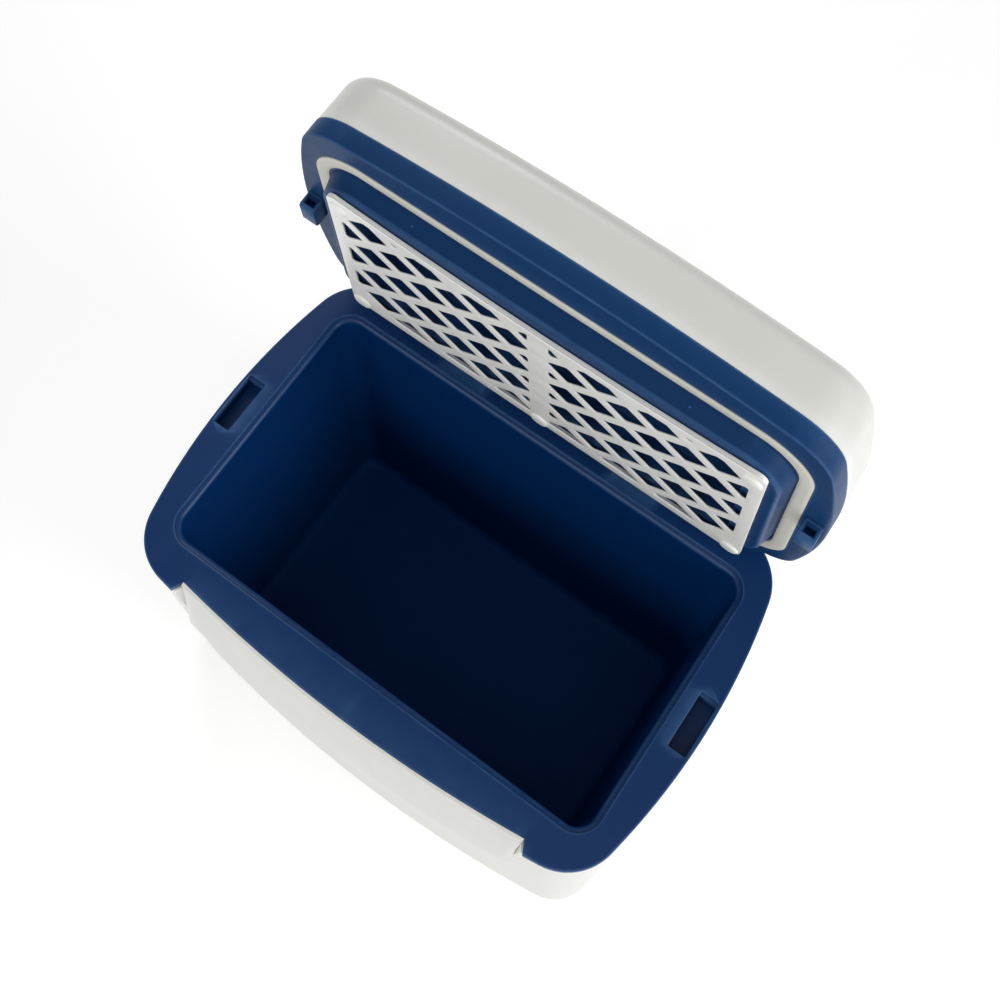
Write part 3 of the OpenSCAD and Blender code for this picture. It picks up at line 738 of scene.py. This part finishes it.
GRILLE_X = HALF_X - 43
GRILLE_FRONT = 92.8
GRILLE_REAR = 97.3
GRILLE_BOW = 9.8
MESH_X, MESH_Y = 44.35, 43.0
CUT_X, CUT_Y = 16.8, 14.9
MESH_SHIFT = -2.9
STRAP_HALF = 8
WINDOW_X = HALF_X - 52
WINDOW_REAR = 86
FRONT_BORDER = 9.4
SMALLEST_HOLE = 9  # square millimetres; a clipped hole that is smaller is left solid
PEG_X = HALF_X - 51.5
PEG_FRONT, PEG_REAR = 77.5, 91
PEG_HEAD_R = 7.4


def front_bow(x):
    """Where the grille's bowed front edge lies at x."""
    return -GRILLE_FRONT + GRILLE_BOW * (1 - (x / GRILLE_X) ** 2)


def clip(points, inside, crossing):
    kept = []
    for i, here in enumerate(points):
        there = points[(i + 1) % len(points)]
        if inside(here):
            kept.append(here)
        if inside(here) != inside(there):
            kept.append(crossing(here, there))
    return kept


def clip_line(points, nx, ny, limit):
    """Keeps the side where nx * x + ny * y is at most limit."""
    def level(p):
        return nx * p[0] + ny * p[1] - limit

    def crossing(a, b):
        t = level(a) / (level(a) - level(b))
        return a[0] + t * (b[0] - a[0]), a[1] + t * (b[1] - a[1])

    return clip(points, lambda p: level(p) <= 0, crossing)


def corner_arc(before, here, after, r, steps, share):
    """Points round one corner, with the arc's reach held to a share of each side."""
    a, p, b = Vector(before), Vector(here), Vector(after)
    u, v = a - p, b - p
    shortest = min(u.length, v.length)
    u.normalize()
    v.normalize()
    half = tan(u.angle(v) / 2)
    reach = min(r / half, share * shortest)
    small_r = reach * half
    mid = p + (u + v).normalized() * (small_r / sin(u.angle(v) / 2))
    first, last = p + u * reach - mid, p + v * reach - mid

    def spoke(t):
        return first.slerp(last, t) * small_r if first.angle(last) > 0.01 else first.lerp(last, t)

    return [tuple(mid + spoke(k / steps)) for k in range(steps + 1)]


def round_corners(points, r, share=0.45):
    """The same closed outline with each corner rounded, by less where a side is short."""
    made = []
    for i, here in enumerate(points):
        made += corner_arc(points[i - 1], here, points[(i + 1) % len(points)], r, 4, share)
    return made


def area(points):
    return sum(a[0] * b[1] - b[0] * a[1] for a, b in zip(points, points[1:] + points[:1])) / 2


def lattice_holes():
    """Diamond holes in two offset families, clipped by the bowed window and the middle strap.

    The corners, where pegs stand, are left solid.
    """
    holes = []
    for family in (0, 1):
        for i in range(-4, 5):
            for j in range(-3, 4):
                x = (i + 0.5 * family) * MESH_X
                y = (j + 0.5 * (1 - family)) * MESH_Y + MESH_SHIFT
                if abs(x) > WINDOW_X - 5 and abs(y) > PEG_FRONT - PEG_HEAD_R:
                    continue
                hole = [(x + CUT_X, y), (x, y + CUT_Y), (x - CUT_X, y), (x, y - CUT_Y)]
                slope = -2 * GRILLE_BOW * x / GRILLE_X ** 2
                edge = front_bow(x) + FRONT_BORDER
                hole = clip_line(hole, slope, -1, slope * x - edge)
                for nx, ny, limit in ((0, 1, WINDOW_REAR), (1, 0, WINDOW_X), (-1, 0, WINDOW_X)):
                    hole = clip_line(hole, nx, ny, limit)
                sides = [clip_line(hole, nx, 0, -STRAP_HALF) for nx in (-1, 1)]
                holes += [side for side in sides if len(side) > 2 and area(side) > SMALLEST_HOLE]
    return holes


def grille_edge():
    """The grille's outer edge: three straight sides and a bowed front."""
    points = [(GRILLE_X, -GRILLE_FRONT), (GRILLE_X, GRILLE_REAR), (-GRILLE_X, GRILLE_REAR),
              (-GRILLE_X, -GRILLE_FRONT)]
    points += [(GRILLE_X * k / 12, front_bow(GRILLE_X * k / 12)) for k in range(-11, 12)]
    corner_rs = (7.0, 5.0, 5.0, 7.0)
    made = []
    for i, r in enumerate(corner_rs):
        made += corner_arc(points[i - 1], points[i], points[i + 1], r, 7, 1.0)
    return made + points[len(corner_rs):]


def new_tree(name, inputs):
    tree = bpy.data.node_groups.new(name, "GeometryNodeTree")
    tree.interface.new_socket("Geometry", in_out="INPUT", socket_type="NodeSocketGeometry")
    sockets = {}
    for label, value in inputs.items():
        kind = "NodeSocketMaterial" if isinstance(value, bpy.types.Material) else "NodeSocketFloat"
        sockets[label] = tree.interface.new_socket(label, in_out="INPUT", socket_type=kind)
    tree.interface.new_socket("Geometry", in_out="OUTPUT", socket_type="NodeSocketGeometry")
    source, sink = tree.nodes.new("NodeGroupInput"), tree.nodes.new("NodeGroupOutput")
    return tree, source, sink, sockets


def run_tree(piece, tree, sockets, inputs):
    """Puts the tree on the piece with its inputs set, and keeps the result as a plain mesh object."""
    step = piece.modifiers.new(tree.name, "NODES")
    step.node_group = tree
    for label, value in inputs.items():
        step[sockets[label].identifier] = value
    mesh, name = evaluated_mesh(piece), piece.name
    bpy.data.objects.remove(piece)
    made = bpy.data.objects.new(name, mesh)
    bpy.context.scene.collection.objects.link(made)
    return made


def link(tree, *pairs):
    for source, target in pairs:
        tree.links.new(source, target)


def lattice_tree(inputs):
    """Round-edged sheet with holes: each outline gets a swept edge, and two flat fills close the sheet."""
    tree, source, sink, sockets = new_tree("moulded_lattice", inputs)
    thick, soft = source.outputs["Sheet Thickness"], source.outputs["Edge Round"]
    upright = add(tree, "GeometryNodeSetCurveNormal", mode="Z_UP")
    link(tree, (source.outputs["Geometry"], upright.inputs["Curve"]))
    outlines = upright.outputs[0]

    def moved(x, y):
        joint = add(tree, "ShaderNodeCombineXYZ")
        link(tree, (x, joint.inputs["X"]), (y, joint.inputs["Y"]))
        return joint.outputs[0]

    rest = add(tree, "ShaderNodeMath", operation="SUBTRACT")
    link(tree, (thick, rest.inputs[0]), (soft, rest.inputs[1]))
    profiles = add(tree, "GeometryNodeJoinGeometry")
    for start, drop in ((pi, soft), (pi / 2, rest.outputs[0])):
        bend = add(tree, "GeometryNodeCurveArc")
        for label, value in (("Resolution", 5), ("Start Angle", start), ("Sweep Angle", pi / 2)):
            bend.inputs[label].default_value = value
        shift = add(tree, "GeometryNodeTransform")
        link(tree, (soft, bend.inputs["Radius"]), (bend.outputs[0], shift.inputs["Geometry"]),
             (moved(soft, drop), shift.inputs["Translation"]), (shift.outputs[0], profiles.inputs[0]))
    line = add(tree, "GeometryNodeCurvePrimitiveLine")
    zero = add(tree, "ShaderNodeValue")
    link(tree, (moved(zero.outputs[0], soft), line.inputs["Start"]),
         (moved(zero.outputs[0], rest.outputs[0]), line.inputs["End"]), (line.outputs[0], profiles.inputs[0]))
    sweep = add(tree, "GeometryNodeCurveToMesh")
    link(tree, (outlines, sweep.inputs["Curve"]), (profiles.outputs[0], sweep.inputs["Profile Curve"]))

    inward = add(tree, "ShaderNodeVectorMath", operation="SCALE")
    side = add(tree, "GeometryNodeInputNormal")
    link(tree, (side.outputs[0], inward.inputs[0]), (soft, inward.inputs["Scale"]))
    pulled = add(tree, "GeometryNodeSetPosition")
    link(tree, (outlines, pulled.inputs["Geometry"]), (inward.outputs[0], pulled.inputs["Offset"]))
    face = add(tree, "GeometryNodeFillCurve")
    link(tree, (pulled.outputs[0], face.inputs["Curve"]))
    down = add(tree, "ShaderNodeMath", operation="MULTIPLY")
    down.inputs[1].default_value = -1
    lower = add(tree, "ShaderNodeCombineXYZ")
    back = add(tree, "GeometryNodeTransform")
    link(tree, (thick, down.inputs[0]), (down.outputs[0], lower.inputs["Z"]),
         (face.outputs[0], back.inputs[0]), (lower.outputs[0], back.inputs["Translation"]))
    whole = add(tree, "GeometryNodeJoinGeometry")
    link(tree, (sweep.outputs[0], whole.inputs[0]), (face.outputs[0], whole.inputs[0]),
         (back.outputs[0], whole.inputs[0]))
    weld = add(tree, "GeometryNodeMergeByDistance", Distance=0.01 * MM)
    real = add(tree, "GeometryNodeRealizeInstances")
    paint = add(tree, "GeometryNodeSetMaterial")
    link(tree, (whole.outputs[0], weld.inputs[0]), (weld.outputs[0], real.inputs[0]),
         (real.outputs[0], paint.inputs["Geometry"]), (source.outputs["Finish"], paint.inputs["Material"]),
         (paint.outputs[0], sink.inputs[0]))
    return tree, sockets


def outline_curves(name, outlines):
    curve = bpy.data.curves.new(name, "CURVE")
    curve.dimensions = "3D"
    for points in outlines:
        spline = curve.splines.new("POLY")
        spline.points.add(len(points) - 1)
        spline.use_cyclic_u = True
        for point, (x, y) in zip(spline.points, points):
            point.co = (x * MM, y * MM, 0, 1)
    piece = bpy.data.objects.new(name, curve)
    bpy.context.scene.collection.objects.link(piece)
    return piece


def window_edge():
    """Inner edge of the grille's deep frame, outside all the holes."""
    half = WINDOW_X + 2
    front = [(half * k / 12, front_bow(half * k / 12) + FRONT_BORDER - 1.9) for k in range(-12, 13)]
    return front + [(half, WINDOW_REAR + 2), (-half, WINDOW_REAR + 2)]


def make_grille():
    outlines = [round_corners(hole, 2.0) for hole in lattice_holes()]
    outlines = [o if area(o) > 0 else o[::-1] for o in outlines]
    outer = grille_edge()
    outlines.append(outer[::-1] if area(outer) > 0 else outer)
    inputs = {"Sheet Thickness": LATTICE_T * MM, "Edge Round": 0.4 * MM, "Finish": LIT_LATTICE_WHITE}
    tree, sockets = lattice_tree(inputs)
    sheet = run_tree(outline_curves("ice_pack_lattice", outlines), tree, sockets, inputs)
    # the frame round the window is as deep as the pegs need; the lattice itself is a thin sheet
    sunk = 0.05
    frame_inputs = {"Sheet Thickness": (GRILLE_T - sunk) * MM, "Edge Round": 0.5 * MM,
                    "Finish": LIT_LATTICE_WHITE}
    window = window_edge()
    frame_lines = [outlines[-1], window if area(window) > 0 else window[::-1]]
    tree, sockets = lattice_tree(frame_inputs)
    border = run_tree(outline_curves("ice_pack_grille_frame", frame_lines), tree, sockets, frame_inputs)
    border.data.transform(Matrix.Translation((0, 0, sunk * MM)))
    join_pieces(sheet, [border])
    sheet.data.transform(Matrix.Scale(-1, 4, (0, 0, 1)))
    sheet.data.transform(Matrix.Translation((0, 0, GRILLE_FACE * MM)))
    finish_piece(sheet, "grille", LIT_LATTICE_WHITE, "white_plastic", "ice_pack_grille", lid=True, smooth=34)


# ---- pegs, screws and dimples set out by Geometry Nodes ----

def scatter_tree(inputs):
    """One copy of the fixing at each point, made real and given its finish."""
    tree, source, sink, sockets = new_tree("fixings_at_points", inputs)
    fixing = add(tree, "GeometryNodeObjectInfo")
    spots = add(tree, "GeometryNodeMeshToPoints")
    copies = add(tree, "GeometryNodeInstanceOnPoints")
    scale = add(tree, "ShaderNodeCombineXYZ")
    real = add(tree, "GeometryNodeRealizeInstances")
    paint = add(tree, "GeometryNodeSetMaterial")
    size = source.outputs["Size"]
    link(tree, (source.outputs["Geometry"], spots.inputs["Mesh"]),
         (spots.outputs[0], copies.inputs["Points"]),
         (fixing.outputs["Geometry"], copies.inputs["Instance"]), (size, scale.inputs["X"]),
         (size, scale.inputs["Y"]), (size, scale.inputs["Z"]), (scale.outputs[0], copies.inputs["Scale"]),
         (copies.outputs[0], real.inputs[0]), (real.outputs[0], paint.inputs["Geometry"]),
         (source.outputs["Finish"], paint.inputs["Material"]), (paint.outputs[0], sink.inputs[0]))
    return tree, sockets, fixing


def turned(name, profile, count=28):
    """A solid turned about Z from (radius, height) points, both ends closed."""
    rings = [[Vector((r * cos(2 * pi * i / count), r * sin(2 * pi * i / count), z)) for i in range(count)]
             for r, z in profile]
    return loft(name, rings)


def scatter(name, fixing, places, finish, size=1.0):
    points = new_piece(name, places, [])
    inputs = {"Size": size, "Finish": finish}
    tree, sockets, info = scatter_tree(inputs)
    info.inputs["Object"].default_value = fixing
    made = run_tree(points, tree, sockets, inputs)
    bpy.data.objects.remove(fixing)
    return made


def make_pegs():
    places = [(x, y, GRILLE_FACE) for x in (-PEG_X, PEG_X) for y in (-PEG_FRONT, PEG_REAR)]
    places.append((0, PEG_REAR, GRILLE_FACE))
    head = [(0.01, -1.8), (4.6, -1.7), (6.3, -1.35), (7.2, -0.75), (PEG_HEAD_R, -0.2),
            (PEG_HEAD_R, 0.05), (3.0, 0.06), (3.0, 9.0), (1.5, 9.5)]
    pegs = scatter("grille_peg_heads", turned("peg", head), places, LIT_LATTICE_WHITE)
    finish_piece(pegs, "grille", LIT_LATTICE_WHITE, "white_plastic", "grille_pegs", lid=True, smooth=35)


def make_dimples():
    """Two ejector marks standing a hair proud on the plug's front wall."""
    places = [(s * 102.6, -PLUG_FRONT + 1.7, -6.3) for s in (-1, 1)]
    dome = [(0.01, 1.0), (0.6, 0.8), (0.9, 0.4), (1.0, 0.0), (0.5, -0.4)]
    bump = turned("mark", dome, 14)
    bump.data.transform(Matrix.Rotation(radians(90), 4, "X"))
    marks = scatter("plug_wall_marks", bump, places, LID_NAVY_PAINTED_REFLECTION)
    finish_piece(marks, "lid", LID_NAVY_PAINTED_REFLECTION, "navy_plastic", lid=True, smooth=50)


def make_screws():
    places = [(lug + side, HINGE.y - 3, RIM_Z) for lug in (-LUG_X, LUG_X) for side in (-15.5, 15.5)]
    shape = [(0.01, -0.25), (1.8, -0.3), (2.7, -0.6), (3.0, -1.1), (3.0, -1.5), (1.5, -1.6), (1.5, -12.5),
             (0.4, -13)]
    screw = turned("screw", shape)
    for turn in (0, 90):
        slot = prism_along_x("cross", [(-0.4, -1.1), (0.4, -1.1), (0.4, 1), (-0.4, 1)], -2, 2)
        slot.data.transform(Matrix.Rotation(radians(turn), 4, "Z"))
        combine(screw, slot)
    screws = scatter("lug_screws", screw, places, STEEL)
    finish_piece(screws, "chest", STEEL, "steel", "hinge_screws", smooth=30)


# ---- handle ----

def make_handle():
    """A bent bar of round-edged section lying in the lid's channel, with eyes at its pivots."""
    pivot = LID_TOP - HANDLE_DROP
    bend_r = 14.0
    half_wide, half_tall, squareness = 6.2, 5.3, 0.55
    path = [(-ARM_X, 0.0)]
    for side, start in ((-1, pi), (1, pi / 2)):
        cx, cy = side * (ARM_X - bend_r), HANDLE_REACH - bend_r
        turns = [start - pi / 2 * i / 8 for i in range(9)]
        path += [(cx + bend_r * cos(a), cy + bend_r * sin(a)) for a in turns]
    path.append((ARM_X, 0.0))
    rings = []
    for i, (x, y) in enumerate(path):
        before = Vector(path[max(i - 1, 0)])
        after = Vector(path[min(i + 1, len(path) - 1)])
        along = (after - before).normalized()
        across = Vector((along.y, -along.x))
        section = []
        for k in range(24):
            c, t = cos(2 * pi * k / 24), sin(2 * pi * k / 24)
            wide = half_wide * copysign(abs(c) ** squareness, c)
            tall = half_tall * copysign(abs(t) ** squareness, t)
            section.append(Vector((x + across.x * wide, y + across.y * wide, pivot + tall)))
        rings.append(section)
    bar = loft("handle_bar", rings)
    for x in (-ARM_X, ARM_X):
        combine(bar, rod("eye", (x - 6, 0, pivot), (x + 6, 0, pivot), 6.5, 32), "UNION")
        combine(bar, rod("bore", (x - 8, 0, pivot), (x + 8, 0, pivot), 2.56, 24))
    finish_piece(bar, "handle", WHITE, "white_plastic", "carry_handle", lid=True, smooth=35)


def dress_cad_nodes():
    finishes = {"hinge_lug_left": NAVY, "hinge_lug_right": NAVY, "hinge_pins": STEEL, "handle_pins": STEEL,
                "body_foam": FOAM, "lid_foam": FOAM}
    for name, material in finishes.items():
        piece = frame["nodes"][name]
        for slot in piece.material_slots:
            slot.material = material


# ---- floor, light and camera ----

def make_floor():
    half, drop = 6000, 0.6
    floor = new_piece("studio_floor", [(-half, -half, -drop), (half, -half, -drop), (half, half, -drop),
                                       (-half, half, -drop)], [(0, 1, 2, 3)])
    finish, tree, shader = nodes_of("studio_paper")
    shader.inputs["Base Color"].default_value = (0.8, 0.8, 0.8, 1)
    shader.inputs["Emission Color"].default_value = (1, 1, 1, 1)
    shader.inputs["Emission Strength"].default_value = 0.4
    shader.inputs["Roughness"].default_value = 0.9
    shader.inputs["Specular IOR Level"].default_value = 0.1
    floor.data.materials.append(finish)


def soft_light(name, place, target, size, power):
    lamp = bpy.data.lights.new(name, "AREA")
    lamp.shape = "RECTANGLE"
    lamp.size, lamp.size_y = size
    lamp.energy = power
    made = bpy.data.objects.new(name, lamp)
    bpy.context.scene.collection.objects.link(made)
    made.location = place
    made.rotation_euler = (Vector(target) - Vector(place)).to_track_quat("-Z", "Y").to_euler()


def make_light():
    world = bpy.data.worlds.new("studio_air")
    bpy.context.scene.world = world
    world.use_nodes = True
    sky = world.node_tree.nodes["Background"]
    sky.inputs["Color"].default_value = (1, 1, 1, 1)
    sky.inputs["Strength"].default_value = 0.3
    soft_light("rear_left_box", (-0.9, 1.3, 1.9), (0, 0.05, 0.25), (1.0, 0.8), 12)
    soft_light("right_box", (1.9, 0.1, 1.0), (0, 0.05, 0.25), (1.0, 1.0), 22)
    soft_light("front_box", (-0.5, -2.6, 1.9), (0, 0, 0.2), (1.6, 1.0), 27)
    soft_light("top_box", (0.35, -0.45, 1.9), (0, 0, 0.1), (0.7, 0.7), 3)


def make_camera():
    lens = bpy.data.cameras.new("studio_camera")
    lens.sensor_width = 36
    lens.lens = 64.85
    lens.shift_x = 0.0067
    lens.shift_y = -0.392
    lens.clip_start = 0.05
    camera = bpy.data.objects.new("studio_camera", lens)
    bpy.context.scene.collection.objects.link(camera)
    right = Vector((0.81644, 0.57741, 0.00420))
    up = Vector((-0.50442, 0.70967, 0.49186))
    forward = Vector((-0.28103, 0.40369, -0.87066))
    spin = Matrix((right, up, -forward)).transposed().to_4x4()
    camera.matrix_world = Matrix.Translation((0.21849, -0.27327, 1.52226)) @ spin
    bpy.context.scene.camera = camera


make_camera()
make_light()
make_floor()
make_shell()
make_liner()
make_pocket_boxes()
make_lid_cover()
make_lid_tray()
make_seal()
make_latch_tab(-1, "latch_tab_left")
make_latch_tab(1, "latch_tab_right")
make_grille()
make_pegs()
make_dimples()
make_screws()
make_handle()
dress_cad_nodes()

bpy.context.scene.view_settings.view_transform = "Standard"
